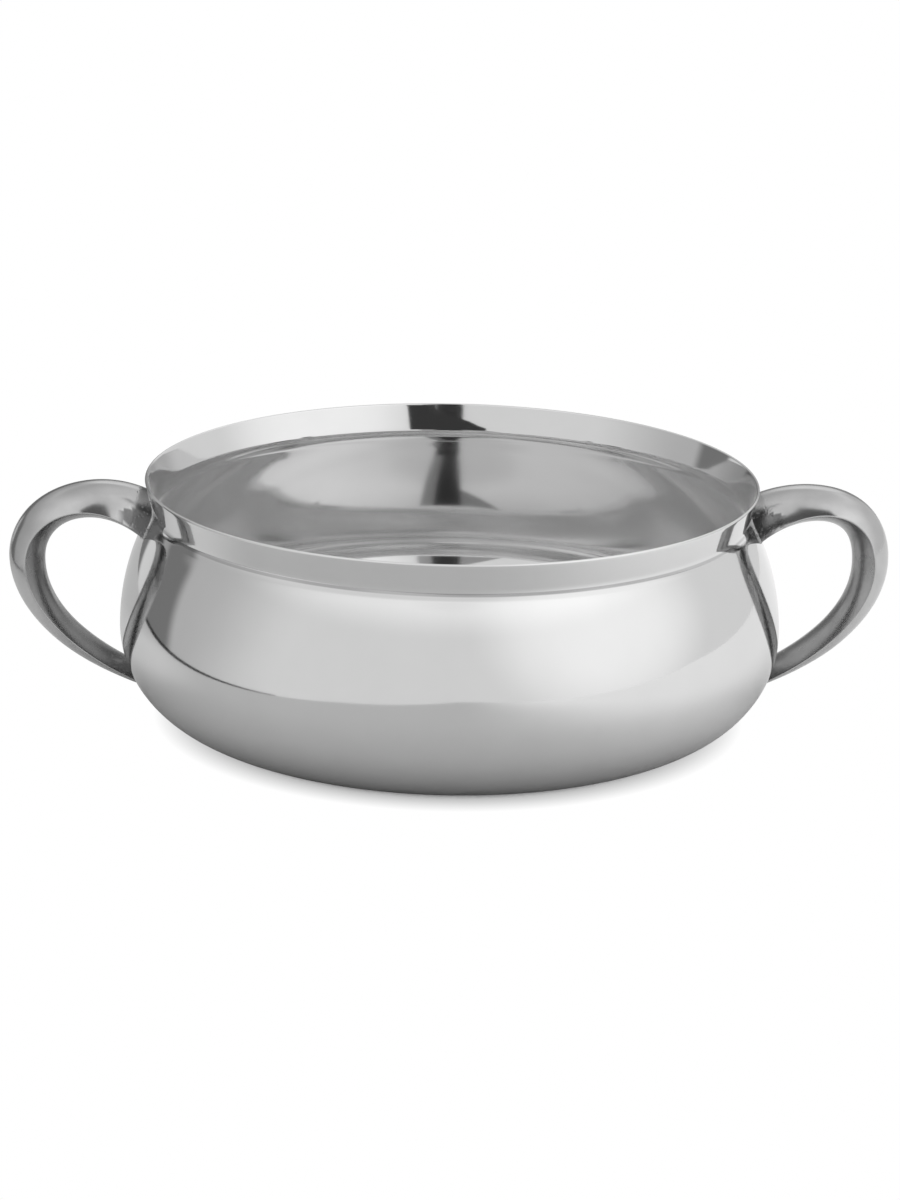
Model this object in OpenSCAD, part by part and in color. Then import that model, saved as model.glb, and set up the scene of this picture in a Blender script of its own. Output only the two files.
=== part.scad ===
// Open serving bowl: a spun sheet bowl with a flared lip, and two cast loop handles welded to its sides.

/* [Bowl] */
// Widest diameter of the belly
belly_d = 250; // [238:1:262]
// Radius of the round between the flat base and the belly, outside
corner_r = 36; // [32:0.5:40]
// How far the narrowest part of the neck lies in from the belly
neck_in = 12.5; // [10:0.5:15]
// Radius of the hollow round the neck, outside
neck_r = 6; // [4:0.5:8]
// How far the rim flares out past the neck
rim_out = 3; // [2:0.5:5]
// Height of the bowl
bowl_h = 92.5; // [84:0.5:100]
// Height of the rim above the narrowest part of the neck
lip_h = 11.5; // [9:0.5:14]
// Thickness of the sheet
wall = 1.2; // [0.8:0.1:2]

/* [Handle loop] */
// How far each handle stands out past the belly
handle_reach = 41.5; // [36:0.5:50]
// Distance from the neck down to the handle's outermost point
grip_drop = 20; // [16:0.5:24]
// Distance from the neck down to the buried start of the ridge line
root_drop = 17; // [14:0.5:20]
// Depth to which the ridge line is carried inside the shoulder before it is trimmed
root_depth = 12; // [10:0.5:14]
// Climb of the ridge line where it leaves the shoulder, in degrees
root_climb = 53; // [48:1:58]
// Length of the pull that rounds the loop at the root
root_pull = 36.5; // [32:0.5:40]
// Length of the pull that rounds the loop above the grip
crest_pull = 20; // [16:0.5:24]
// Length of the pull that rounds the loop below the grip
arm_pull = 21; // [16:0.5:26]
// Length of the pull that straightens the arm at the heel
heel_pull = 24.5; // [20:0.5:28]
// Fall of the ridge line where it reaches the belly, in degrees
heel_fall = 19; // [14:1:24]
// Height of the buried end of the ridge line above the base
heel_z = 12; // [10:0.5:16]
// Depth to which the ridge line is carried inside the belly before it is trimmed
heel_depth = 6; // [5:0.5:9]

/* [Handle section] */
// Width from ridge to ridge at the root
root_w = 31; // [28:0.5:36]
// Width from ridge to ridge at the crest
crest_w = 26.5; // [23:0.5:30]
// Width from ridge to ridge at the grip
grip_w = 25; // [21:0.5:29]
// Width from ridge to ridge along the arm
arm_w = 25; // [21:0.5:29]
// Width from ridge to ridge at the heel
heel_w = 25; // [21:0.5:29]
// Height of the outer face over the ridges at the root
root_outer = 15; // [13:0.5:16.5]
// Height of the outer face over the ridges at the crest
crest_outer = 8; // [7:0.5:10]
// Height of the outer face over the ridges at the grip
grip_outer = 6.5; // [5:0.5:8]
// Height of the outer face over the ridges along the arm
arm_outer = 5.5; // [4.5:0.5:7]
// Height of the outer face over the ridges at the heel
heel_outer = 2.5; // [2:0.25:4]
// Depth of the inner face under the ridges at the root
root_inner = 2; // [1.5:0.25:4]
// Depth of the inner face under the ridges at the crest
crest_inner = 4.75; // [3.5:0.25:6]
// Depth of the inner face under the ridges at the grip
grip_inner = 7; // [5:0.25:8.5]
// Depth of the inner face under the ridges along the arm
arm_inner = 3.5; // [2.5:0.25:5]
// Depth of the inner face under the ridges at the heel
heel_inner = 2; // [1.5:0.25:3]

/* [Welds] */
// Leg of the weld fillet round each end of a handle
weld_leg = 1.6; // [1:0.1:2.5]
// Hollow of the fillet's face, as a share of its depth
weld_hollow = 0.25; // [0:0.05:0.5]
// Clearance that keeps the flats of the fillet out of the bowl's round side
weld_clear = 0.03; // [0:0.01:0.1]

/* [Hidden] */
$fn = 180;

steel = [0.80, 0.81, 0.82];
cast_steel = [0.60, 0.60, 0.61];
weld_steel = [0.48, 0.48, 0.49];

// Radii of the bowl, and the height of its narrowest part
belly_rad = belly_d / 2;
base_rad = belly_rad - corner_r;
neck_rad = belly_rad - neck_in;
neck_z = bowl_h - lip_h;

// The round below the belly runs tangent from the base to the widest line
belly_z = corner_r;
corner_c = [base_rad, corner_r];

// The shoulder arc leaves the widest line upright and meets the neck's hollow tangent
neck_c = [neck_rad + neck_r, neck_z];
shoulder_rise = neck_z - belly_z;
shoulder_r = (shoulder_rise * shoulder_rise / neck_in + neck_in - 2 * neck_r) / 2;
shoulder_c = [belly_rad - shoulder_r, belly_z];
shoulder_turn = atan2(neck_c.y - shoulder_c.y, neck_c.x - shoulder_c.x);

// The lip is a straight flare, tangent to the neck's hollow and ending in a round edge
rim_c = [neck_rad + rim_out - wall / 2, bowl_h - wall / 2];
rim_from_neck = rim_c - neck_c;
lip_turn = atan2(rim_from_neck.y, rim_from_neck.x) + acos((neck_r + wall / 2) / norm(rim_from_neck));
lip_inward = [cos(lip_turn), sin(lip_turn)];
lip_along = [sin(lip_turn), -cos(lip_turn)];

function shoulder_top(depth) = shoulder_c.y + (shoulder_r - depth) * sin(shoulder_turn);
function lip_start(depth) = neck_c + (neck_r + depth) * lip_inward;
function lip_end(depth) = rim_c + (depth - wall / 2) * lip_inward;

// The flare runs down past its start by lip_lap, a hair proud, so that line and hollow cross cleanly
lip_lap = 1;
lip_hair = 0.002;
function lip_foot(depth) = lip_start(depth) - lip_lap * lip_along - lip_hair * lip_inward;

// Everything inside the surface that lies a given depth below the outside; tip closes the lip
module bowl_inside(depth, tip) {
    // A core through every level joins them without a seam
    translate([0, belly_z / 2]) square([neck_rad - neck_r, tip.y - belly_z / 2]);
    translate([0, depth]) square([base_rad, belly_z - depth]);
    intersection() {
        translate(corner_c) circle(r = corner_r - depth);
        translate([base_rad, 0]) square([corner_r, belly_z]);
    }
    intersection() {
        translate(shoulder_c) circle(r = shoulder_r - depth);
        translate([0, belly_z]) square([belly_rad - depth, shoulder_top(depth) - belly_z]);
    }
    difference() {
        translate([0, shoulder_top(depth)]) square([neck_c.x, lip_start(depth).y - shoulder_top(depth)]);
        translate(neck_c) circle(r = neck_r + depth);
    }
    polygon([[0, lip_foot(depth).y], lip_foot(depth), lip_end(depth), tip, [0, tip.y]]);
}

// The bowl's outer form filled solid, to cope the handles against
module bowl_form() {
    rotate_extrude() bowl_inside(0, lip_end(wall));
}

module bowl_shell() {
    color(steel) rotate_extrude() {
        difference() {
            bowl_inside(0, lip_end(wall));
            bowl_inside(wall, lip_end(wall) + wall * lip_along);
        }
        translate(rim_c) circle(d = wall);
    }
}

// Outside radius of the bowl at a height between the base and the shoulder's top
function bowl_rad(z) = z < belly_z
    ? corner_c.x + sqrt(corner_r * corner_r - pow(z - corner_c.y, 2))
    : shoulder_c.x + sqrt(shoulder_r * shoulder_r - pow(z - shoulder_c.y, 2));

// Distance of a point from the bowl's outside, less than zero within it
function bowl_gap(p) =
    let(q = [norm([p.x, p.y]), p.z])
    q.y < belly_z ? norm(q - corner_c) - corner_r
    : q.y < shoulder_top(0) ? norm(q - shoulder_c) - shoulder_r
    : q.y < lip_start(0).y ? max(neck_r - norm(q - neck_c), q.x - neck_c.x)
    : (lip_start(0) - q) * lip_inward;

// The ridge line of a handle is two curves that meet upright at the outermost point of the loop
root_z = neck_z - root_drop;
root_point = [bowl_rad(root_z) - root_depth, root_z];
grip_point = [belly_rad + handle_reach - grip_outer, neck_z - grip_drop];
heel_point = [bowl_rad(heel_z) - heel_depth, heel_z];
upper_curve = [
    root_point,
    root_point + root_pull * [cos(root_climb), sin(root_climb)],
    grip_point + [0, crest_pull],
    grip_point
];
lower_curve = [
    grip_point,
    grip_point - [0, arm_pull],
    heel_point + heel_pull * [cos(heel_fall), sin(heel_fall)],
    heel_point
];

function bezier(c, t) =
    pow(1 - t, 3) * c[0] + 3 * pow(1 - t, 2) * t * c[1] + 3 * (1 - t) * t * t * c[2] + pow(t, 3) * c[3];
function bezier_run(c, t) =
    pow(1 - t, 2) * (c[1] - c[0]) + 2 * (1 - t) * t * (c[2] - c[1]) + t * t * (c[3] - c[2]);

// Places along the ridge line run from 0 at the root, through 1 at the grip, to 2 at the heel
function ridge_point(t) = t <= 1 ? bezier(upper_curve, t) : bezier(lower_curve, t - 1);
function ridge_run(t) = t <= 1 ? bezier_run(upper_curve, t) : bezier_run(lower_curve, t - 1);
function ridge_outward(t) = let(run = ridge_run(t)) [-run.y, run.x] / norm(run);

// Section sizes at the root, crest, grip, arm and heel, joined by a smooth curve through them
widths = [root_w, crest_w, grip_w, arm_w, heel_w];
outer_heights = [root_outer, crest_outer, grip_outer, arm_outer, heel_outer];
inner_depths = [root_inner, crest_inner, grip_inner, arm_inner, heel_inner];
spans = len(widths) - 1;

function along(sizes, t) =
    let(i = min(floor(t * spans / 2), spans - 1), f = t * spans / 2 - i)
    let(a = sizes[max(i - 1, 0)], b = sizes[i], c = sizes[i + 1], d = sizes[min(i + 2, spans)])
    (2 * b + (c - a) * f + (2 * a - 5 * b + 4 * c - d) * f * f + (3 * b - a - 3 * c + d) * f * f * f) / 2;

// Fullness of the section's two faces, which meet in a crisp ridge at the front and at the back
face_power = 2.2;
face_steps = 12;
ring_steps = 2 * face_steps;
handle_steps = 44;

function face_across(k) = -cos(180 * k / face_steps);
function face_height(k) = 1 - pow(abs(face_across(k)), face_power);

// One point of the section at place t, with the section grown by an even amount
function section_point(t, k, grow = 0) =
    let(outer = k <= face_steps, across = face_across(k), rise = face_height(k))
    let(size = outer ? along(outer_heights, t) + grow : -along(inner_depths, t) - grow)
    let(q = ridge_point(t) + ridge_outward(t) * rise * size)
    [q.x, across * (along(widths, t) / 2 + grow), q.y];

// A closed skin through rings of points, joined end to end or capped at both ends
module skin(rings, joined = false) {
    count = len(rings);
    size = len(rings[0]);
    caps = [[for (k = [size - 1 : -1 : 0]) k], [for (k = [0 : size - 1]) (count - 1) * size + k]];
    bands = [
        for (i = [0 : count - (joined ? 1 : 2)], k = [0 : size - 1])
            let(j = (i + 1) % count, m = (k + 1) % size)
            let(a = i * size + k, b = i * size + m, c = j * size + m, d = j * size + k)
            each [[a, b, d], [b, c, d]]
    ];
    polyhedron(points = [for (ring = rings) each ring], faces = joined ? bands : concat(caps, bands));
}

// One handle, on the right-hand side, trimmed to sit on the bowl's outside
module handle() {
    difference() {
        skin([
            for (i = [0 : handle_steps])
                [for (k = [0 : ring_steps - 1]) section_point(2 * i / handle_steps, k)]
        ]);
        bowl_form();
    }
}

// Place, between one inside the bowl and one outside it, where a line of the section stands off by a gap
function clear_place(k, grow, gap, buried, free, halvings = 24) =
    let(middle = (buried + free) / 2)
    halvings == 0 ? middle
    : bowl_gap(section_point(middle, k, grow)) < gap
        ? clear_place(k, grow, gap, middle, free, halvings - 1)
        : clear_place(k, grow, gap, buried, middle, halvings - 1);

// The fillet's own small section: its corner in the seam, its toes on the handle and on the bowl
function fillet_section(k, buried, free) =
    let(seam = section_point(clear_place(k, 0, weld_clear, buried, free), k))
    let(on_handle = section_point(clear_place(k, 0, weld_leg, buried, free), k))
    let(on_bowl = section_point(clear_place(k, weld_leg, weld_clear, buried, free), k, weld_leg))
    let(face = (on_handle + on_bowl) / 2)
    [seam, on_handle, face + (seam - face) * weld_hollow, on_bowl];

// The fillet of weld metal round one end of the handle, which lies between the places buried and free
module weld(buried, free) {
    turn = buried < free ? [0 : ring_steps - 1] : [ring_steps - 1 : -1 : 0];
    skin([for (k = turn) fillet_section(k, buried, free)], joined = true);
}

module upper_weld() { weld(0, 0.5); }
module lower_weld() { weld(2, 1.5); }

module left_handle() { color(cast_steel) mirror([1, 0, 0]) handle(); }
module right_handle() { color(cast_steel) handle(); }
module left_upper_weld() { color(weld_steel) mirror([1, 0, 0]) upper_weld(); }
module left_lower_weld() { color(weld_steel) mirror([1, 0, 0]) lower_weld(); }
module right_upper_weld() { color(weld_steel) upper_weld(); }
module right_lower_weld() { color(weld_steel) lower_weld(); }

bowl_shell();
left_handle();
right_handle();
left_upper_weld();
left_lower_weld();
right_upper_weld();
right_lower_weld();
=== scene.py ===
# Open serving bowl: a mirror-polished spun bowl with two cast loop handles welded to its sides.
import math

import bmesh
import bpy
from mathutils import Matrix, Vector, noise


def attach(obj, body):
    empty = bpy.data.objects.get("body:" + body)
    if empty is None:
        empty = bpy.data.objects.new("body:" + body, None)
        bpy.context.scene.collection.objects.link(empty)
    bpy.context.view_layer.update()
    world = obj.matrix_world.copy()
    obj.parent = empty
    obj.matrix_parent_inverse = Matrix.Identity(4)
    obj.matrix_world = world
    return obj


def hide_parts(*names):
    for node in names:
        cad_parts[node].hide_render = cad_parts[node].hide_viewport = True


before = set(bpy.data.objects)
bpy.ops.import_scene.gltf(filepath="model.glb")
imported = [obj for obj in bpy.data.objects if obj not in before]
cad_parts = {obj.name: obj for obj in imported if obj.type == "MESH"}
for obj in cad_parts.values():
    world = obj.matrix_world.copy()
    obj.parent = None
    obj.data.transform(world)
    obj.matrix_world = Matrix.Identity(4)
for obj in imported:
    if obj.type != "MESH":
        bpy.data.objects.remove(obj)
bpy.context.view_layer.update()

# Sizes are in millimetres, as in the part's source, and become metres when a mesh is made
MM = 0.001

# Bowl
BELLY_RAD = 125.0
CORNER_R = 36.0
NECK_IN = 12.5
NECK_R = 6.0
RIM_OUT = 3.0
BOWL_H = 92.5
LIP_H = 11.5
WALL = 1.2

# The neck's dark line is painted into the sheet's colour: partly a fine mark in the concave neck, partly
# painted reflection of the dark that the concave neck mirrors
# Fine dark line along the neck, as the photograph shows it: its height, and its width
NECK_LINE_Z = 80.5
NECK_LINE = 0.8

# Handle loop
HANDLE_REACH = 41.49
GRIP_DROP = 20.0
ROOT_DROP = 17.0
ROOT_DEPTH = 12.0
ROOT_CLIMB = math.radians(53)
LEFT_PULLS = (36.5, 20.0)
RIGHT_PULLS = (31.5, 27.5)
ARM_PULL = 21.0
HEEL_PULL = 24.5
HEEL_FALL = math.radians(19)
HEEL_Z = 12.0
HEEL_DEPTH = 6.0

# Handle section at the root, crest, grip, arm and heel
WIDTHS = (31.0, 26.5, 25.0, 25.0, 25.0)
OUTER_HEIGHTS = (15.0, 8.0, 6.5, 5.5, 2.5)
INNER_DEPTHS = (2.0, 4.75, 7.0, 3.5, 2.0)
FACE_POWER = 2.2
RIDGE_EASE = 0.45

# The corner's darkening is painted shade, standing for the lip that the root's lower half mirrors
# Height below which the corner between handle and bowl is darker, as the photograph shows it
UNDER_LIP = 82.0

# Weld bead
WELD_LEG = 0.6
WELD_HOLLOW = 0.2
BEAD_ROUGH = 0.08
BEAD_SWELL = 0.3

# Swells, lumps and grains of the bead, per millimetre, and the start of their pattern
SWELLS = 0.35
LUMPS = 0.9
GRAINS = 2.1
BEAD_PATTERN = Vector((7.3, 3.1, 5.7))

# How deep the bead's seam, and its edge on the bowl, lie in the sheet
SEAM_SUNK = 0.1
EDGE_SUNK = 0.05

# How far the ends of handles and beads are sunk into the sheet, so that no gap shows
SUNK = 0.4

# Places along the loop, buried in the bowl and free of it, at the root and at the heel
AT_ROOT = (0.0, 0.5)
AT_HEEL = (2.0, 1.5)

# Fineness of the meshes; the side of the bowl is its base, corner, shoulder, neck and lip
SIDE_STEPS = (10, 34, 26, 14, 8)
RIM_STEPS = 12
SPIN_STEPS = 320
FACE_STEPS = 40
RIDGE_STEPS = 6
LOOP_STEPS = 150
BEAD_STEPS = 240
BEAD_FACE_STEPS = 8
HALVINGS = 22
MERGE_WITHIN = 1e-6

# Sizes that follow
BASE_RAD = BELLY_RAD - CORNER_R
NECK_RAD = BELLY_RAD - NECK_IN
NECK_Z = BOWL_H - LIP_H
BELLY_Z = CORNER_R
CORNER_C = Vector((BASE_RAD, CORNER_R))
NECK_C = Vector((NECK_RAD + NECK_R, NECK_Z))
SHOULDER_R = ((NECK_Z - BELLY_Z) ** 2 / NECK_IN + NECK_IN - 2 * NECK_R) / 2
SHOULDER_C = Vector((BELLY_RAD - SHOULDER_R, BELLY_Z))
SHOULDER_TURN = math.atan2(NECK_C.y - SHOULDER_C.y, NECK_C.x - SHOULDER_C.x)
RIM_C = Vector((NECK_RAD + RIM_OUT - WALL / 2, BOWL_H - WALL / 2))
RIM_FROM_NECK = RIM_C - NECK_C
LIP_TURN = (math.atan2(RIM_FROM_NECK.y, RIM_FROM_NECK.x)
            + math.acos((NECK_R + WALL / 2) / RIM_FROM_NECK.length))
LIP_INWARD = Vector((math.cos(LIP_TURN), math.sin(LIP_TURN)))
LIP_START = NECK_C + NECK_R * LIP_INWARD
SHOULDER_TOP = SHOULDER_C.y + SHOULDER_R * math.sin(SHOULDER_TURN)


def along_arc(centre, radius, start, end, steps):
    """Points along an arc, both ends included."""
    turns = [start + (end - start) * i / steps for i in range(steps + 1)]
    return [centre + radius * Vector((math.cos(a), math.sin(a))) for a in turns]


def along_line(start, end, steps):
    return [start.lerp(end, i / steps) for i in range(steps + 1)]


def bowl_side(depth):
    """The bowl's surface at a depth below its outside, from the middle of the base up to the rim."""
    middle = Vector((0.0, depth))
    foot = Vector((BASE_RAD, depth))
    lip_foot = NECK_C + (NECK_R + depth) * LIP_INWARD
    lip_end = RIM_C + (depth - WALL / 2) * LIP_INWARD
    base, corner, shoulder, neck, lip = SIDE_STEPS
    runs = (
        along_line(middle, foot, base),
        along_arc(CORNER_C, CORNER_R - depth, -math.pi / 2, 0, corner),
        along_arc(SHOULDER_C, SHOULDER_R - depth, 0, SHOULDER_TURN, shoulder),
        along_arc(NECK_C, NECK_R + depth, SHOULDER_TURN + math.pi, LIP_TURN, neck),
        along_line(lip_foot, lip_end, lip),
    )
    side = [runs[0][0]]
    for run in runs:
        side.extend(run[1:])
    return side


def bowl_profile():
    """The whole outline of the sheet: up the outside, over the rim and down the inside."""
    inside = bowl_side(WALL)
    inside.reverse()
    rim = along_arc(RIM_C, WALL / 2, LIP_TURN - math.pi, LIP_TURN, RIM_STEPS)
    return bowl_side(0.0) + rim[1:-1] + inside


def bowl_gap(p):
    """Distance of a point from the bowl's outside, less than zero within it."""
    q = Vector((math.hypot(p.x, p.y), p.z))
    if q.y < BELLY_Z:
        return (q - CORNER_C).length - CORNER_R
    if q.y < SHOULDER_TOP:
        return (q - SHOULDER_C).length - SHOULDER_R
    if q.y < LIP_START.y:
        return max(NECK_R - (q - NECK_C).length, q.x - NECK_C.x)
    return (LIP_START - q).dot(LIP_INWARD)


def bowl_rad(z):
    """Outside radius of the bowl between the base and the shoulder's top."""
    if z < BELLY_Z:
        return CORNER_C.x + math.sqrt(CORNER_R ** 2 - (z - CORNER_C.y) ** 2)
    return SHOULDER_C.x + math.sqrt(SHOULDER_R ** 2 - (z - SHOULDER_C.y) ** 2)


# The ridge line of a handle: two curves that meet upright at the outermost point of the loop
ROOT_Z = NECK_Z - ROOT_DROP
ROOT_POINT = Vector((bowl_rad(ROOT_Z) - ROOT_DEPTH, ROOT_Z))
GRIP_POINT = Vector((BELLY_RAD + HANDLE_REACH - OUTER_HEIGHTS[2], NECK_Z - GRIP_DROP))
HEEL_POINT = Vector((bowl_rad(HEEL_Z) - HEEL_DEPTH, HEEL_Z))
LOWER_CURVE = (
    GRIP_POINT,
    GRIP_POINT - Vector((0, ARM_PULL)),
    HEEL_POINT + HEEL_PULL * Vector((math.cos(HEEL_FALL), math.sin(HEEL_FALL))),
    HEEL_POINT,
)


def upper_curve(pulls):
    """The upper half of the loop; its pulls, at the root and above the grip, say how full the bend is."""
    root_pull, crest_pull = pulls
    return (
        ROOT_POINT,
        ROOT_POINT + root_pull * Vector((math.cos(ROOT_CLIMB), math.sin(ROOT_CLIMB))),
        GRIP_POINT + Vector((0, crest_pull)),
        GRIP_POINT,
    )


def on_ridge(upper, t):
    """Point and outward direction of the ridge line: 0 at the root, 1 at the grip, 2 at the heel."""
    a, b, c, d = upper if t <= 1 else LOWER_CURVE
    u = t if t <= 1 else t - 1
    v = 1 - u
    point = v ** 3 * a + 3 * v * v * u * b + 3 * v * u * u * c + u ** 3 * d
    run = v * v * (b - a) + 2 * v * u * (c - b) + u * u * (d - c)
    return point, Vector((-run.y, run.x)).normalized()


def along(sizes, t):
    """A smooth curve through the five section sizes."""
    last = len(sizes) - 1
    place = t * last / 2
    i = min(int(place), last - 1)
    f = place - i
    a, b, c, d = sizes[max(i - 1, 0)], sizes[i], sizes[i + 1], sizes[min(i + 2, last)]
    bend = 2 * a - 5 * b + 4 * c - d
    twist = 3 * b - a - 3 * c + d
    return (2 * b + (c - a) * f + bend * f ** 2 + twist * f ** 3) / 2


def section_outline(t, grow=0.0):
    """Points (across, height) round the handle's section: outer face, ridge, inner face, ridge."""
    half = along(WIDTHS, t) / 2 + grow
    outer = along(OUTER_HEIGHTS, t) + grow
    inner = along(INNER_DEPTHS, t) + grow
    outer_lean = math.atan(FACE_POWER * outer / half)
    inner_lean = math.atan(FACE_POWER * inner / half)
    half_angle = (outer_lean + inner_lean) / 2
    radius = RIDGE_EASE * math.tan(half_angle)
    lean = (outer_lean - inner_lean) / 2
    reach = radius / math.sin(half_angle)
    centre = Vector((half - reach * math.cos(lean), reach * math.sin(lean)))
    outer_edge = half - RIDGE_EASE * math.cos(outer_lean)
    inner_edge = half - RIDGE_EASE * math.cos(inner_lean)
    upright = math.pi / 2
    sweep = along_arc(centre, radius, upright - outer_lean, inner_lean - upright, RIDGE_STEPS)[1:-1]
    points = []
    for i in range(FACE_STEPS + 1):
        y = outer_edge * (2 * i / FACE_STEPS - 1)
        points.append((y, outer * (1 - abs(y / half) ** FACE_POWER)))
    points.extend((p.x, p.y) for p in sweep)
    for i in range(FACE_STEPS + 1):
        y = inner_edge * (1 - 2 * i / FACE_STEPS)
        points.append((y, -inner * (1 - abs(y / half) ** FACE_POWER)))
    points.extend((-p.x, p.y) for p in reversed(sweep))
    return points


RING = 2 * (FACE_STEPS + 1) + 2 * (RIDGE_STEPS - 1)


def on_section(upper, t, k, grow=0.0):
    """One point of a handle's skin, as on the right-hand side, k counted round the section."""
    outline = section_outline(t, grow)
    i = int(k) % RING
    f = k - int(k)
    near, far = outline[i], outline[(i + 1) % RING]
    across = near[0] + (far[0] - near[0]) * f
    height = near[1] + (far[1] - near[1]) * f
    point, outward = on_ridge(upper, t)
    q = point + outward * height
    return Vector((q.x, across, q.y))


def clear_place(upper, k, grow, gap, buried, free):
    """Where a line of the section stands off the bowl by a gap, between a buried and a free place."""
    for _ in range(HALVINGS):
        middle = (buried + free) / 2
        if bowl_gap(on_section(upper, middle, k, grow)) < gap:
            buried = middle
        else:
            free = middle
    return (buried + free) / 2


def put_object(name, data):
    """A new object in the scene, at the origin."""
    made = bpy.data.objects.new(name, data)
    bpy.context.scene.collection.objects.link(made)
    return made


def new_piece(name, points, faces, mirrored=False, spots=None):
    """A smooth mesh piece at the origin; points in millimetres, spots the UV map of its corners."""
    side = -1 if mirrored else 1
    mesh = bpy.data.meshes.new(name)
    mesh.from_pydata([(side * p.x * MM, p.y * MM, p.z * MM) for p in points], [], faces)
    if spots:
        layer = mesh.uv_layers.new(name="lengthwise")
        layer.data.foreach_set("uv", [size * MM for spot in spots for size in spot])
    skin = bmesh.new()
    skin.from_mesh(mesh)
    bmesh.ops.recalc_face_normals(skin, faces=skin.faces)
    skin.to_mesh(mesh)
    skin.free()
    mesh.shade_smooth()
    return put_object(name, mesh)


def add_attribute(piece, name, values):
    layer = piece.data.attributes.new(name, "FLOAT", "POINT")
    layer.data.foreach_set("value", values)


def handle_skin(upper):
    """Points and faces of a handle, and each corner's place along the loop and round it."""
    starts = [clear_place(upper, k, 0.0, -SUNK, *AT_ROOT) for k in range(RING)]
    ends = [clear_place(upper, k, 0.0, -SUNK, *AT_HEEL) for k in range(RING)]
    points = []
    for i in range(LOOP_STEPS + 1):
        f = i / LOOP_STEPS
        points.extend(on_section(upper, starts[k] + (ends[k] - starts[k]) * f, k) for k in range(RING))
    grip = section_outline(1.0)
    girth = [0.0]
    for k in range(RING):
        near, far = grip[k], grip[(k + 1) % RING]
        girth.append(girth[-1] + math.hypot(far[0] - near[0], far[1] - near[1]))
    length = [0.0]
    for i in range(LOOP_STEPS):
        length.append(length[-1] + (points[(i + 1) * RING] - points[i * RING]).length)
    faces = []
    spots = []
    for i in range(LOOP_STEPS):
        for k in range(RING):
            m = (k + 1) % RING
            faces.append((i * RING + k, i * RING + m, (i + 1) * RING + m, (i + 1) * RING + k))
            spots.extend(((length[i], girth[k]), (length[i], girth[k + 1]),
                          (length[i + 1], girth[k + 1]), (length[i + 1], girth[k])))
    for ring in (0, LOOP_STEPS):
        loop = [ring * RING + k for k in range(RING)]
        middle = sum((points[n] for n in loop), Vector()) / RING
        outward = Vector((middle.x, middle.y, 0)).normalized()
        middle = middle - outward * (bowl_gap(middle) + SUNK)
        points.append(middle)
        faces.extend((len(points) - 1, loop[k], loop[(k + 1) % RING]) for k in range(RING))
        end = length[ring]
        for k in range(RING):
            spots.extend(((end, girth[k]), (end, girth[k]), (end, girth[k + 1])))
    return points, faces, spots


def bead_ring(upper, buried, free, seed):
    """Points and faces of the weld bead round one end of a handle."""
    rough = seed * BEAD_PATTERN
    points = []
    count = BEAD_FACE_STEPS + 2
    for n in range(BEAD_STEPS):
        k = n * RING / BEAD_STEPS
        seam = on_section(upper, clear_place(upper, k, 0.0, -SEAM_SUNK, buried, free), k)
        swell = 1 + BEAD_SWELL * noise.noise(seam * SWELLS + rough)
        leg = WELD_LEG * swell
        on_handle = on_section(upper, clear_place(upper, k, 0.0, leg, buried, free), k)
        on_bowl = on_section(upper, clear_place(upper, k, leg, -EDGE_SUNK, buried, free), k, leg)
        face = (on_handle + on_bowl) / 2
        crown = face + (seam - face) * WELD_HOLLOW
        outward = (face - seam).normalized()
        points.append(seam)
        for i in range(BEAD_FACE_STEPS + 1):
            s = i / BEAD_FACE_STEPS
            p = on_handle * (1 - s) ** 2 + crown * 2 * s * (1 - s) + on_bowl * s ** 2
            lump = noise.noise(p * LUMPS + rough) + 0.5 * noise.noise(p * GRAINS + rough)
            points.append(p + outward * lump * BEAD_ROUGH * 4 * s * (1 - s))
    faces = []
    for n in range(BEAD_STEPS):
        m = (n + 1) % BEAD_STEPS
        for i in range(count):
            j = (i + 1) % count
            faces.append((n * count + i, n * count + j, m * count + j, m * count + i))
    return points, faces


def link(tree, source, target):
    tree.links.new(source, target)


def math_node(tree, operation, a, b=None, c=None, clamp=False):
    """A Math node whose inputs are numbers or sockets; returns its output."""
    node = tree.nodes.new("ShaderNodeMath")
    node.operation = operation
    node.use_clamp = clamp
    for socket, value in zip(node.inputs, (a, b, c)):
        if value is None:
            continue
        if isinstance(value, (int, float)):
            socket.default_value = value
        else:
            link(tree, value, socket)
    return node.outputs[0]


def axes_of(tree, vector):
    """The X, Y and Z of a vector."""
    node = tree.nodes.new("ShaderNodeSeparateXYZ")
    link(tree, vector, node.inputs[0])
    return node.outputs


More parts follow.
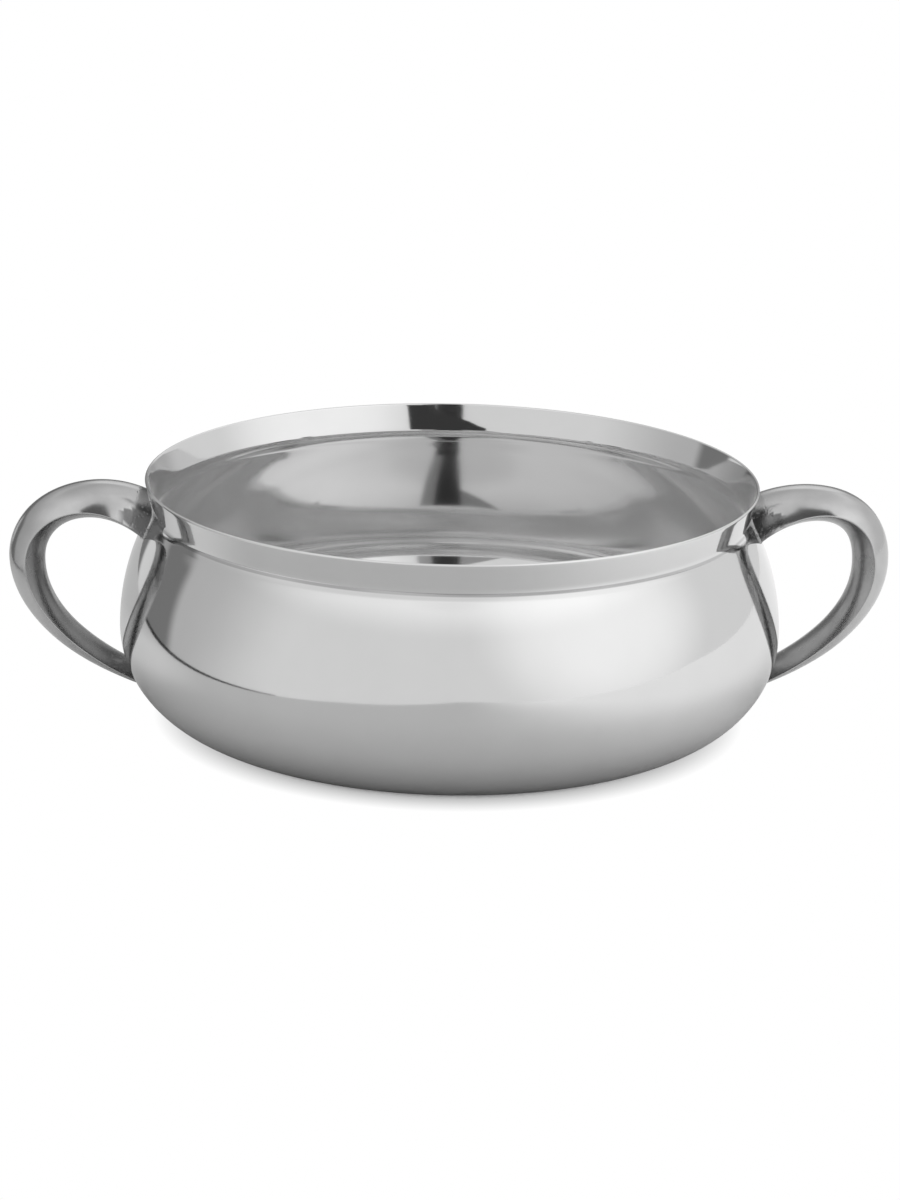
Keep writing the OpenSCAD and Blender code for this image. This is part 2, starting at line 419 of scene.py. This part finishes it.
def spun_sheet_tree():
    """Geometry Nodes that spin a profile, drawn in the XZ plane, round the upright axis."""
    tree = bpy.data.node_groups.new("spun_sheet", "GeometryNodeTree")
    sockets = tree.interface
    sockets.new_socket("Profile", in_out="INPUT", socket_type="NodeSocketGeometry")
    sockets.new_socket("Steps round", in_out="INPUT", socket_type="NodeSocketInt")
    sockets.new_socket("Metal", in_out="INPUT", socket_type="NodeSocketMaterial")
    sockets.new_socket("Sheet", in_out="OUTPUT", socket_type="NodeSocketGeometry")
    new = tree.nodes.new
    given = new("NodeGroupInput")
    made = new("NodeGroupOutput")
    size = new("GeometryNodeAttributeDomainSize")
    link(tree, given.outputs["Profile"], size.inputs["Geometry"])
    columns = math_node(tree, "ADD", given.outputs["Steps round"], 1)
    grid = new("GeometryNodeMeshGrid")
    link(tree, size.outputs["Point Count"], grid.inputs["Vertices X"])
    link(tree, columns, grid.inputs["Vertices Y"])
    index = new("GeometryNodeInputIndex").outputs[0]
    row = math_node(tree, "FLOOR", math_node(tree, "DIVIDE", math_node(tree, "ADD", index, 0.5), columns))
    step = math_node(tree, "SUBTRACT", index, math_node(tree, "MULTIPLY", row, columns))
    turn = math_node(tree, "DIVIDE", math_node(tree, "MULTIPLY", step, 2 * math.pi),
                     given.outputs["Steps round"])
    place = new("GeometryNodeSampleIndex")
    place.data_type = "FLOAT_VECTOR"
    link(tree, given.outputs["Profile"], place.inputs["Geometry"])
    link(tree, new("GeometryNodeInputPosition").outputs[0], place.inputs["Value"])
    link(tree, row, place.inputs["Index"])
    drawn = axes_of(tree, place.outputs[0])
    spun = new("ShaderNodeCombineXYZ")
    for operation, axis in (("COSINE", "X"), ("SINE", "Y")):
        share = math_node(tree, operation, turn)
        link(tree, math_node(tree, "MULTIPLY", drawn["X"], share), spun.inputs[axis])
    link(tree, drawn["Z"], spun.inputs["Z"])
    put = new("GeometryNodeSetPosition")
    link(tree, grid.outputs["Mesh"], put.inputs["Geometry"])
    link(tree, spun.outputs[0], put.inputs["Position"])
    inner = new("GeometryNodeStoreNamedAttribute")
    inner.inputs["Name"].default_value = "inside"
    link(tree, put.outputs[0], inner.inputs["Geometry"])
    twice = math_node(tree, "MULTIPLY", row, 2.0)
    link(tree, math_node(tree, "GREATER_THAN", twice, size.outputs["Point Count"]), inner.inputs["Value"])
    close = new("GeometryNodeMergeByDistance")
    close.inputs["Distance"].default_value = MERGE_WITHIN
    link(tree, inner.outputs[0], close.inputs["Geometry"])
    outward = new("GeometryNodeFlipFaces")
    link(tree, close.outputs[0], outward.inputs["Mesh"])
    smooth = new("GeometryNodeSetShadeSmooth")
    link(tree, outward.outputs[0], smooth.inputs["Geometry"])
    whole = new("GeometryNodeRealizeInstances")
    link(tree, smooth.outputs[0], whole.inputs["Geometry"])
    metal = new("GeometryNodeSetMaterial")
    link(tree, whole.outputs[0], metal.inputs["Geometry"])
    link(tree, given.outputs["Metal"], metal.inputs["Material"])
    link(tree, metal.outputs[0], made.inputs["Sheet"])
    return tree


def set_input(modifier, name, value):
    """Sets a Geometry Nodes input by the identifier of its socket."""
    for item in modifier.node_group.interface.items_tree:
        if item.item_type == "SOCKET" and item.in_out == "INPUT" and item.name == name:
            modifier[item.identifier] = value


def spun_bowl(metal):
    profile = bowl_profile()
    mesh = bpy.data.meshes.new("bowl_profile")
    edges = [(i, i + 1) for i in range(len(profile) - 1)]
    mesh.from_pydata([(p.x * MM, 0, p.y * MM) for p in profile], edges, [])
    draft = put_object("bowl_profile", mesh)
    spin = draft.modifiers.new("spin", "NODES")
    spin.node_group = spun_sheet_tree()
    set_input(spin, "Steps round", SPIN_STEPS)
    set_input(spin, "Metal", metal)
    seen = draft.evaluated_get(bpy.context.evaluated_depsgraph_get())
    spun = bpy.data.meshes.new_from_object(seen)
    spun.name = "spun_bowl"
    draft.modifiers.remove(spin)
    bpy.data.objects.remove(draft)
    return put_object("spun_bowl", spun)


# Share of a full mirror's glancing reflection that steel keeps
GLANCING = 0.88


def new_metal(name):
    """A metal with a Principled shader: the material, its node tree and the shader."""
    material = bpy.data.materials.new(name)
    material.use_nodes = True
    tree = material.node_tree
    metal = tree.nodes["Principled BSDF"]
    metal.inputs["Metallic"].default_value = 1.0
    metal.inputs["Specular Tint"].default_value = (GLANCING, GLANCING, GLANCING, 1)
    return material, tree, metal


def new_group(name, inputs, outputs):
    """A shader node group with named sockets; inputs are (name, type, value)."""
    tree = bpy.data.node_groups.new(name, "ShaderNodeTree")
    for label, kind, value in inputs:
        socket = tree.interface.new_socket(label, in_out="INPUT", socket_type=kind)
        if value is not None:
            socket.default_value = value
    for label, kind in outputs:
        tree.interface.new_socket(label, in_out="OUTPUT", socket_type=kind)
    return tree, tree.nodes.new("NodeGroupInput"), tree.nodes.new("NodeGroupOutput")


def place_group(tree, group, **values):
    """A group node in a material; values are numbers or sockets, by input name with _ for spaces."""
    node = tree.nodes.new("ShaderNodeGroup")
    node.node_tree = group
    for label, value in values.items():
        socket = node.inputs[label.replace("_", " ")]
        if isinstance(value, (int, float)):
            socket.default_value = value
        else:
            link(tree, value, socket)
    return node


def noise_node(tree, vector, scale, detail=2.0, rough=0.5):
    """Noise without distortion; returns its value."""
    node = tree.nodes.new("ShaderNodeTexNoise")
    node.inputs["Scale"].default_value = scale
    node.inputs["Detail"].default_value = detail
    node.inputs["Roughness"].default_value = rough
    node.inputs["Distortion"].default_value = 0.0
    link(tree, vector, node.inputs["Vector"])
    return node.outputs["Fac"]


def spread(tree, value, low, high, to_low=0.0, to_high=1.0, smooth=False):
    """Map Range; returns its output."""
    node = tree.nodes.new("ShaderNodeMapRange")
    node.interpolation_type = "SMOOTHSTEP" if smooth else "LINEAR"
    for label, number in (("From Min", low), ("From Max", high), ("To Min", to_low), ("To Max", to_high)):
        node.inputs[label].default_value = number
    link(tree, value, node.inputs["Value"])
    return node.outputs["Result"]


def fade(tree, value, low, high):
    """1 up to low and 0 from high on, with a smooth run between them."""
    return spread(tree, value, low, high, 1.0, 0.0, smooth=True)


def attribute(tree, name):
    """A value that the mesh keeps at each of its points."""
    node = tree.nodes.new("ShaderNodeAttribute")
    node.attribute_name = name
    return node.outputs["Fac"]


def bump_node(tree, height, depth, below=None):
    """A Bump node of a depth in metres, on top of another bump's normal."""
    node = tree.nodes.new("ShaderNodeBump")
    node.inputs["Strength"].default_value = 1.0
    node.inputs["Distance"].default_value = depth
    link(tree, height, node.inputs["Height"])
    if below is not None:
        link(tree, below, node.inputs["Normal"])
    return node.outputs["Normal"]


def grey_mix(tree, amount, low, high):
    """A grey between two levels, by an amount that varies over the surface."""
    node = tree.nodes.new("ShaderNodeMix")
    node.data_type = "RGBA"
    node.inputs["A"].default_value = (*low, 1)
    node.inputs["B"].default_value = (*high, 1)
    link(tree, amount, node.inputs["Factor"])
    return node.outputs["Result"]


# Breaks per metre along a wheel mark, and the noise between which haze grows from none to full
MARK_BREAKS = 12.0
HAZE_EDGES = (0.35, 0.7)


def buffing_group():
    """Fine wheel marks that run along X and Y of the given vector and change along its Z."""
    tree, given, made = new_group(
        "buffing_marks",
        (("Vector", "NodeSocketVector", None), ("Lines per metre", "NodeSocketFloat", 900.0),
         ("Haze per metre", "NodeSocketFloat", 40.0)),
        (("Height", "NodeSocketFloat"), ("Haze", "NodeSocketFloat")))
    place = axes_of(tree, given.outputs["Vector"])
    lined = tree.nodes.new("ShaderNodeCombineXYZ")
    for axis, stretch in (("X", MARK_BREAKS), ("Y", MARK_BREAKS), ("Z", given.outputs["Lines per metre"])):
        link(tree, math_node(tree, "MULTIPLY", place[axis], stretch), lined.inputs[axis])
    link(tree, noise_node(tree, lined.outputs[0], 1.0, detail=3.0, rough=0.6), made.inputs["Height"])
    scaled = tree.nodes.new("ShaderNodeVectorMath")
    scaled.operation = "SCALE"
    link(tree, given.outputs["Vector"], scaled.inputs[0])
    link(tree, given.outputs["Haze per metre"], scaled.inputs["Scale"])
    haze = noise_node(tree, scaled.outputs[0], 1.0, detail=4.0, rough=0.55)
    link(tree, spread(tree, haze, *HAZE_EDGES), made.inputs["Haze"])
    return tree


# Pits: where a pit's edge falls in its cell, clusters and grains per metre, and the grains' height
PIT_EDGE = (0.1, 0.45)
CLUSTERS = 260.0
CLUSTER_EDGES = (0.45, 0.6)
WELD_GRAINS = 1500.0
GRAIN_HEIGHT = 0.35


def pits_group():
    """Small pits and grains left by welding, strongest where Near is 1."""
    tree, given, made = new_group(
        "weld_pits",
        (("Vector", "NodeSocketVector", None), ("Near", "NodeSocketFloat", 1.0),
         ("Pits per metre", "NodeSocketFloat", 900.0)),
        (("Height", "NodeSocketFloat"), ("Pitted", "NodeSocketFloat")))
    cells = tree.nodes.new("ShaderNodeTexVoronoi")
    cells.inputs["Randomness"].default_value = 1.0
    link(tree, given.outputs["Vector"], cells.inputs["Vector"])
    link(tree, given.outputs["Pits per metre"], cells.inputs["Scale"])
    pit = fade(tree, cells.outputs["Distance"], *PIT_EDGE)
    gathered = noise_node(tree, given.outputs["Vector"], CLUSTERS)
    clusters = spread(tree, gathered, *CLUSTER_EDGES, smooth=True)
    grain = noise_node(tree, given.outputs["Vector"], WELD_GRAINS, detail=3.0, rough=0.6)
    pitted = math_node(tree, "MULTIPLY", math_node(tree, "MULTIPLY", pit, clusters), given.outputs["Near"])
    grains = math_node(tree, "MULTIPLY", grain, GRAIN_HEIGHT)
    rough = math_node(tree, "MULTIPLY", grains, given.outputs["Near"])
    link(tree, math_node(tree, "SUBTRACT", rough, pitted), made.inputs["Height"])
    link(tree, pitted, made.inputs["Pitted"])
    return tree


# Radius in metres at which the sheet's marks keep their own scale
MARK_RADIUS = 0.1


def ring_vector(tree):
    """Object coordinates turned so that Z grows along the bowl's profile and X, Y run round it."""
    spot = tree.nodes.new("ShaderNodeTexCoord").outputs["Object"]
    x, y, z = axes_of(tree, spot)
    radius = math_node(tree, "SQRT", math_node(tree, "ADD", math_node(tree, "MULTIPLY", x, x),
                                               math_node(tree, "MULTIPLY", y, y)))
    kept = math_node(tree, "MAXIMUM", radius, MARK_RADIUS)
    joined = tree.nodes.new("ShaderNodeCombineXYZ")
    for axis, place in (("X", x), ("Y", y)):
        round_it = math_node(tree, "DIVIDE", place, kept)
        link(tree, math_node(tree, "MULTIPLY", round_it, MARK_RADIUS), joined.inputs[axis])
    link(tree, math_node(tree, "ADD", radius, z), joined.inputs["Z"])
    return spot, joined.outputs[0]


# Sheet: its tones, polished and in the painted dark line of the neck, and its roughness, clean and hazed
SHEET_TONES = ((0.61, 0.61, 0.61), (0.13, 0.13, 0.132))
SHEET_HAZE = 0.03
SHEET_ROUGH = (0.055, 0.08)
ROUGHER_INSIDE = 0.005
# Patches per metre in which the painted line of the neck comes and goes, the noise between them, and its
# shades
LINE_PATCHES = 14.0
PATCH_EDGES = (0.35, 0.65)
LINE_SHADES = (0.25, 0.6)
# Waves per metre, and the depth in metres of the waves and of the wheel marks
SHEET_WAVES = 24.0
WAVE_DEPTH = 0.00004
SHEET_LINE_DEPTH = 0.0000012

# A stand-in that keeps the ends of the inside from going dark and blotchy: between these depths of
# repeated reflection the sheet comes to lose no light, and it gets rougher by the blur
REPEATS = (1.0, 2.6)
REPEAT_BLUR = 0.25


def polished_sheet(buffing):
    """Mirror-polished stainless sheet, with faint wheel marks round it, slight waves and a painted dark
    line along the neck.
    """
    material, tree, metal = new_metal("polished_sheet")
    spot, rings = ring_vector(tree)
    marks = place_group(tree, buffing, Vector=rings, Lines_per_metre=700.0, Haze_per_metre=60.0)
    inside = attribute(tree, "inside")
    # Painted dark line along the neck, partly painted reflection of the concave neck
    over_line = math_node(tree, "SUBTRACT", axes_of(tree, spot)["Z"], NECK_LINE_Z * MM)
    off = math_node(tree, "ABSOLUTE", over_line)
    fine = fade(tree, off, NECK_LINE * MM / 2, NECK_LINE * MM)
    patchy = spread(tree, noise_node(tree, spot, LINE_PATCHES), *PATCH_EDGES, *LINE_SHADES)
    painted_neck_line = math_node(tree, "MULTIPLY", math_node(tree, "MULTIPLY", fine, patchy),
                       math_node(tree, "SUBTRACT", 1.0, inside))
    hazy = math_node(tree, "MULTIPLY", marks.outputs["Haze"], SHEET_HAZE)
    shade = math_node(tree, "MAXIMUM", hazy, painted_neck_line)
    again = spread(tree, tree.nodes.new("ShaderNodeLightPath").outputs["Glossy Depth"], *REPEATS)
    deep = tree.nodes.new("ShaderNodeMix")
    deep.data_type = "RGBA"
    deep.inputs["B"].default_value = (1, 1, 1, 1)
    link(tree, again, deep.inputs["Factor"])
    link(tree, grey_mix(tree, shade, *SHEET_TONES), deep.inputs["A"])
    link(tree, deep.outputs["Result"], metal.inputs["Base Color"])
    polish = math_node(tree, "ADD", spread(tree, marks.outputs["Haze"], 0.0, 1.0, *SHEET_ROUGH),
                       math_node(tree, "MULTIPLY", inside, ROUGHER_INSIDE))
    softer = math_node(tree, "MULTIPLY", again, REPEAT_BLUR)
    link(tree, math_node(tree, "ADD", polish, softer), metal.inputs["Roughness"])
    waves = noise_node(tree, spot, SHEET_WAVES, detail=1.0, rough=0.4)
    waved = bump_node(tree, waves, WAVE_DEPTH)
    link(tree, bump_node(tree, marks.outputs["Height"], SHEET_LINE_DEPTH, waved), metal.inputs["Normal"])
    return material


# Handles: light and dark tones, and the share of dark in haze, and of painted shade inside the loop and in
# the root's corner
CAST_TONES = ((0.44, 0.44, 0.44), (0.08, 0.08, 0.081))
CAST_HAZE = 0.15
PAINTED_LOOP_SHADE = 0.15
PAINTED_CORNER_SHADE = 0.7
# Distances from the bowl, in metres, over which the pits and the corner's painted shade fade
PITS_FADE = (0.0015, 0.009)
CORNER_FADE = (0.0045, 0.008)
# Heights, in millimetres, over which the corner's painted shade fades at the lip and grows above the belly
LIP_EASE = 3
BELLY_EASE = 20
# Roughness, clean and hazed, and how much rougher the pits and the inside of the loop are
CAST_ROUGH = (0.15, 0.22)
ROUGHER_SPOTS = 0.08
# Lumps per metre, and the depth in metres of the lumps, wheel marks and pits
CAST_LUMPS = 160.0
LUMP_DEPTH = 0.00002
CAST_LINE_DEPTH = 0.000002
CAST_PIT_DEPTH = 0.00012


def cast_handle(buffing, pits):
    """Buffed cast steel, duller than the sheet, with wheel marks along the loop, pits by the welds, and
    painted shade inside the loop and in the root's corner.
    """
    material, tree, metal = new_metal("cast_handle")
    spot = tree.nodes.new("ShaderNodeTexCoord")
    lengthwise = tree.nodes.new("ShaderNodeMapping")
    lengthwise.inputs["Rotation"].default_value = (math.pi / 2, 0, 0)
    link(tree, spot.outputs["UV"], lengthwise.inputs["Vector"])
    marks = place_group(tree, buffing, Vector=lengthwise.outputs[0],
                        Lines_per_metre=1500.0, Haze_per_metre=90.0)
    from_bowl = attribute(tree, "from_bowl")
    near = fade(tree, from_bowl, *PITS_FADE)
    pitting = place_group(tree, pits, Vector=spot.outputs["Object"], Near=near, Pits_per_metre=800.0)
    in_loop = attribute(tree, "in_loop")
    height = axes_of(tree, spot.outputs["Object"])["Z"]
    below = fade(tree, height, UNDER_LIP * MM, (UNDER_LIP + LIP_EASE) * MM)
    above = spread(tree, height, BELLY_Z * MM, (BELLY_Z + BELLY_EASE) * MM, smooth=True)
    tight = fade(tree, from_bowl, *CORNER_FADE)
    # Painted shade: the root's corner under the lip and the inner face of the loop are darkened in the
    # colour
    corner = math_node(tree, "MULTIPLY", tight, math_node(tree, "MULTIPLY", below, above))
    painted_shade = math_node(tree, "ADD", math_node(tree, "MULTIPLY", in_loop, PAINTED_LOOP_SHADE),
                           math_node(tree, "MULTIPLY", corner, PAINTED_CORNER_SHADE))
    hazy = math_node(tree, "MULTIPLY", marks.outputs["Haze"], CAST_HAZE)
    shade = math_node(tree, "ADD", hazy, painted_shade, clamp=True)
    link(tree, grey_mix(tree, shade, *CAST_TONES), metal.inputs["Base Color"])
    rough_spots = math_node(tree, "MAXIMUM", near, in_loop)
    dull = math_node(tree, "ADD", spread(tree, marks.outputs["Haze"], 0.0, 1.0, *CAST_ROUGH),
                     math_node(tree, "MULTIPLY", rough_spots, ROUGHER_SPOTS))
    link(tree, dull, metal.inputs["Roughness"])
    lumpy = bump_node(tree, noise_node(tree, spot.outputs["Object"], CAST_LUMPS), LUMP_DEPTH)
    lined = bump_node(tree, marks.outputs["Height"], CAST_LINE_DEPTH, lumpy)
    link(tree, bump_node(tree, pitting.outputs["Height"], CAST_PIT_DEPTH, lined), metal.inputs["Normal"])
    return material


# Weld: its light and dark tones, the share of dark in haze and in pits, its roughness, and its pits' depth
WELD_TONES = ((0.40, 0.40, 0.40), (0.19, 0.19, 0.193))
WELD_HAZE = 0.5
WELD_PITTED = 0.5
WELD_ROUGH = (0.2, 0.34)
WELD_PIT_DEPTH = 0.00015


def weld_metal(buffing, pits):
    """Weld bead, ground back and left grainy."""
    material, tree, metal = new_metal("weld_metal")
    spot = tree.nodes.new("ShaderNodeTexCoord").outputs["Object"]
    marks = place_group(tree, buffing, Vector=spot, Lines_per_metre=1200.0, Haze_per_metre=300.0)
    pitting = place_group(tree, pits, Vector=spot, Near=1.0, Pits_per_metre=1100.0)
    hazy = math_node(tree, "MULTIPLY", marks.outputs["Haze"], WELD_HAZE)
    pitted = math_node(tree, "MULTIPLY", pitting.outputs["Pitted"], WELD_PITTED)
    shade = math_node(tree, "ADD", hazy, pitted, clamp=True)
    link(tree, grey_mix(tree, shade, *WELD_TONES), metal.inputs["Base Color"])
    link(tree, spread(tree, marks.outputs["Haze"], 0.0, 1.0, *WELD_ROUGH), metal.inputs["Roughness"])
    link(tree, bump_node(tree, pitting.outputs["Height"], WELD_PIT_DEPTH), metal.inputs["Normal"])
    return material


# Camera at the photograph's place: millimetres and degrees
AIM = Vector((0, 0, 44.5))
AWAY = 1500.0
CAMERA_TURN = math.radians(-2.9)
CAMERA_CLIMB = math.radians(16.97)
CAMERA_ROLL = math.radians(1.2)
PIXELS_PER_MM = 2.632
PICTURE_HEIGHT = 1200


def direction(turn, climb):
    """Direction away from the middle, by its turn from the front and its climb above the table."""
    level = math.cos(climb)
    return Vector((math.sin(turn) * level, -math.cos(turn) * level, math.sin(climb)))


def place_camera():
    away = direction(CAMERA_TURN, CAMERA_CLIMB)
    level = Vector((0, 0, 1)).cross(away).normalized()
    upright = away.cross(level)
    right = level * math.cos(CAMERA_ROLL) + upright * math.sin(CAMERA_ROLL)
    up = upright * math.cos(CAMERA_ROLL) - level * math.sin(CAMERA_ROLL)
    data = bpy.data.cameras.new("camera")
    data.sensor_fit = "VERTICAL"
    data.sensor_height = 36.0
    data.lens = data.sensor_height * PIXELS_PER_MM * AWAY / PICTURE_HEIGHT
    camera = put_object("camera", data)
    place = (AIM + away * AWAY) * MM
    turned = Matrix((right, up, away)).transposed().to_4x4()
    camera.matrix_world = Matrix.Translation(place) @ turned
    bpy.context.scene.camera = camera


# The table's change from the darker left to the lighter right, and its lighter patch, are painted light in
# its colour
# Table top seen in the metal: its outline in millimetres, its grey at the left and at the lighter right,
# where it turns from one to the other, a lighter patch, and the contact shadow; reaches are in metres
TABLE_OUTLINE = (
    (-420, 370), (-195, -300), (0, -590), (60, -585), (455, -293), (780, -100), (780, 700), (-420, 700))
TABLE_LEFT = 0.56
TABLE_RIGHT = 0.94
TABLE_TURN = (0.0, 0.25)
TABLE_PATCH = (-215, 45)
PATCH_GAIN = 0.155
PATCH_REACH = (0.03, 0.13)
SHADOW_REACH = 0.007
SHADOW_FADE = 0.27


def flat_mesh(name, corners):
    """A mesh of one flat face with a bare material of the same name, and the material's node tree."""
    mesh = bpy.data.meshes.new(name)
    mesh.from_pydata([(x * MM, y * MM, z * MM) for x, y, z in corners], [], [tuple(range(len(corners)))])
    material = bpy.data.materials.new(name)
    material.use_nodes = True
    material.node_tree.nodes.clear()
    mesh.materials.append(material)
    return mesh, material.node_tree


def show_mix(tree, amount, first, second, output):
    """Puts out a mix of two shaders."""
    mix = tree.nodes.new("ShaderNodeMixShader")
    link(tree, amount, mix.inputs["Fac"])
    link(tree, first.outputs[0], mix.inputs[1])
    link(tree, second.outputs[0], mix.inputs[2])
    link(tree, mix.outputs[0], tree.nodes.new(output).inputs["Surface"])


def lay_table():
    mesh, tree = flat_mesh("table", [(x, y, 0) for x, y in TABLE_OUTLINE])
    table = put_object("table", mesh)
    spot = tree.nodes.new("ShaderNodeTexCoord").outputs["Object"]
    paper = tree.nodes.new("ShaderNodeBsdfDiffuse")
    left_to_right = axes_of(tree, spot)["X"]
    # Painted light: the table's colour lightens towards the right and in a patch
    across_table = spread(tree, left_to_right, *TABLE_TURN, TABLE_LEFT, TABLE_RIGHT, smooth=True)
    from_patch = tree.nodes.new("ShaderNodeVectorMath")
    from_patch.operation = "DISTANCE"
    from_patch.inputs[1].default_value = (TABLE_PATCH[0] * MM, TABLE_PATCH[1] * MM, 0)
    link(tree, spot, from_patch.inputs[0])
    patch = spread(tree, from_patch.outputs["Value"], *PATCH_REACH, PATCH_GAIN, 0.0, smooth=True)
    link(tree, math_node(tree, "ADD", across_table, patch), paper.inputs["Color"])
    under = tree.nodes.new("ShaderNodeAmbientOcclusion")
    under.samples = 16
    under.inputs["Distance"].default_value = SHADOW_REACH
    white = tree.nodes.new("ShaderNodeEmission")
    link(tree, math_node(tree, "POWER", under.outputs["AO"], SHADOW_FADE), white.inputs["Color"])
    ray = tree.nodes.new("ShaderNodeLightPath")
    show_mix(tree, ray.outputs["Is Camera Ray"], paper, white, "ShaderNodeOutputMaterial")


# Soft white surroundings: overall level, and parts that are lighter or darker, as
# (turn, climb, cosine where it starts, cosine where it is full, change of level, climb of its top edge)
ROOM_LEVEL = 1.0
STRAIGHT_UP = 90
ROOM_PARTS = (
    (55, 22, 0.680, 1.000, 0.39, STRAIGHT_UP),
    (-140, 10, 0.170, 0.870, -0.34, STRAIGHT_UP),
    (-160, 0, 0.643, 0.720, -0.40, 17),
    (-141, 0, 0.985, 0.994, 0.69, STRAIGHT_UP),
    (0, 90, 0.420, 0.740, 0.30, STRAIGHT_UP),
    (180, 72, 0.800, 0.950, -0.25, STRAIGHT_UP),
    (172, 30, 0.940, 0.985, 0.47, STRAIGHT_UP),
    (-3, 60, 0.930, 0.985, -0.18, STRAIGHT_UP),
)
TOP_EDGE = 4
ROOM_DARKEST = 0.047
# The level that falls on the table, from the horizon to straight above
ON_TABLE = (0.46, 1.65)


def light_room():
    world = bpy.data.worlds.new("studio")
    world.use_nodes = True
    bpy.context.scene.world = world
    tree = world.node_tree
    tree.nodes.clear()
    facing = tree.nodes.new("ShaderNodeTexCoord").outputs["Generated"]
    upward = axes_of(tree, facing)["Z"]
    level = ROOM_LEVEL
    for turn, climb, start, full, change, top in ROOM_PARTS:
        dot = tree.nodes.new("ShaderNodeVectorMath")
        dot.operation = "DOT_PRODUCT"
        dot.inputs[1].default_value = direction(math.radians(turn), math.radians(climb))
        link(tree, facing, dot.inputs[0])
        part = spread(tree, dot.outputs["Value"], start, full, 0.0, change, smooth=True)
        if top < STRAIGHT_UP:
            low = math.sin(math.radians(top - TOP_EDGE))
            high = math.sin(math.radians(top + TOP_EDGE))
            part = math_node(tree, "MULTIPLY", part, fade(tree, upward, low, high))
        level = math_node(tree, "ADD", part, level)
    room = tree.nodes.new("ShaderNodeBackground")
    ray = tree.nodes.new("ShaderNodeLightPath")
    overhead = spread(tree, upward, 0.0, 1.0, *ON_TABLE)
    shown = tree.nodes.new("ShaderNodeMix")
    link(tree, ray.outputs["Is Diffuse Ray"], shown.inputs["Factor"])
    link(tree, math_node(tree, "MAXIMUM", level, ROOM_DARKEST), shown.inputs["A"])
    link(tree, overhead, shown.inputs["B"])
    link(tree, shown.outputs["Result"], room.inputs["Strength"])
    room.inputs["Color"].default_value = (1, 1, 1, 1)
    white = tree.nodes.new("ShaderNodeBackground")
    white.inputs["Color"].default_value = (1, 1, 1, 1)
    show_mix(tree, ray.outputs["Is Camera Ray"], room, white, "ShaderNodeOutputWorld")


def across(before, outline):
    """Corners of an upright flag square to the view, at a distance in front of the middle."""
    return [(x, -before, z) for x, z in outline]


# Grey flags stood round the bowl and handles, seen only in the metal and only from the back and right:
# name, level, and corners in millimetres. They stand in for dark things that the metal mirrors.
# The flags are painted reflections: glowing grey sheets that put dark patches into what the metal mirrors
FLAGS = (
    ("strip_flag", 0.047, across(100, (
        (-15, 93.5), (15, 93.5), (15, 390), (32, 420), (32, 520), (-20, 520), (-15, 390)))),
    ("strip_wing", 0.43, across(99, ((15, 93.5), (30, 93.5), (32, 420), (15, 390)))),
    ("strip_foot", 0.42, across(99, ((-60, 93.5), (-15, 93.5), (-15, 150)))),
    ("lip_flag", 0.055, across(-90, (
        (-6.5, 86), (13, 86), (13, 90), (8.5, 93.5), (2.6, 96.5), (0.3, 99), (0.3, 104), (-6.5, 104)))),
    ("right_root_flag", 0.14, across(24, (
        (108, 78), (113, 80), (118, 85.5), (124, 87.5), (140, 91), (152, 95), (152, 112), (129, 112),
        (127, 103), (118, 93), (113, 88), (108, 86)))),
    ("left_root_flag", 0.17, across(24, (
        (-142, 90), (-126, 86), (-126, 95), (-128, 108), (-136, 112), (-144, 102)))),
    ("table_edge", 0.047, ((-347, 154, 0), (-232, -190, 0), (-232, -190, 1), (-347, 154, 9))),
)


BACK_RIGHT = Vector((1, 1, 0))


def hang_flags():
    for name, level, corners in FLAGS:
        mesh, tree = flat_mesh(name, corners)
        # Painted reflection: the flag glows at its dark grey level, from its front only
        painted_dark = tree.nodes.new("ShaderNodeEmission")
        painted_dark.inputs["Color"].default_value = (level, level, level, 1)
        clear = tree.nodes.new("ShaderNodeBsdfTransparent")
        behind = tree.nodes.new("ShaderNodeNewGeometry").outputs["Backfacing"]
        show_mix(tree, behind, painted_dark, clear, "ShaderNodeOutputMaterial")
        if mesh.polygons[0].normal.dot(BACK_RIGHT) < 0:
            mesh.flip_normals()
        flag = put_object(name, mesh)
        flag.visible_camera = False
        flag.visible_diffuse = False
        flag.visible_shadow = False


place_camera()
lay_table()
light_room()
hang_flags()

buffing = buffing_group()
pits = pits_group()
sheet = polished_sheet(buffing)
cast = cast_handle(buffing, pits)
weld = weld_metal(buffing, pits)

bowl = spun_bowl(sheet)
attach(bowl, "root")
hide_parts("bowl_shell")

inner_start = FACE_STEPS + RIDGE_STEPS
for side, mirrored, pulls in (("left", True, LEFT_PULLS), ("right", False, RIGHT_PULLS)):
    upper = upper_curve(pulls)
    points, faces, spots = handle_skin(upper)
    handle = new_piece(f"{side}_loop_handle", points, faces, mirrored, spots)
    add_attribute(handle, "from_bowl", [bowl_gap(p) * MM for p in points])
    # Inner face of the loop, which gets painted shade
    add_attribute(handle, "in_loop", [
        1.0 if inner_start <= n % RING <= inner_start + FACE_STEPS else 0.0 for n in range(len(points))])
    handle.data.materials.append(cast)
    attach(handle, "root")
    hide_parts(f"{side}_handle")
    for end, places, seed in (("upper", AT_ROOT, 1), ("lower", AT_HEEL, 2)):
        bead = new_piece(f"{side}_{end}_bead", *bead_ring(upper, *places, seed), mirrored)
        bead.data.materials.append(weld)
        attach(bead, "root")
        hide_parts(f"{side}_{end}_weld")

scene = bpy.context.scene
scene.view_settings.view_transform = "Standard"
# The polished inside mirrors itself many times over
MIRRORINGS = 24
scene.cycles.max_bounces = MIRRORINGS
scene.cycles.glossy_bounces = MIRRORINGS
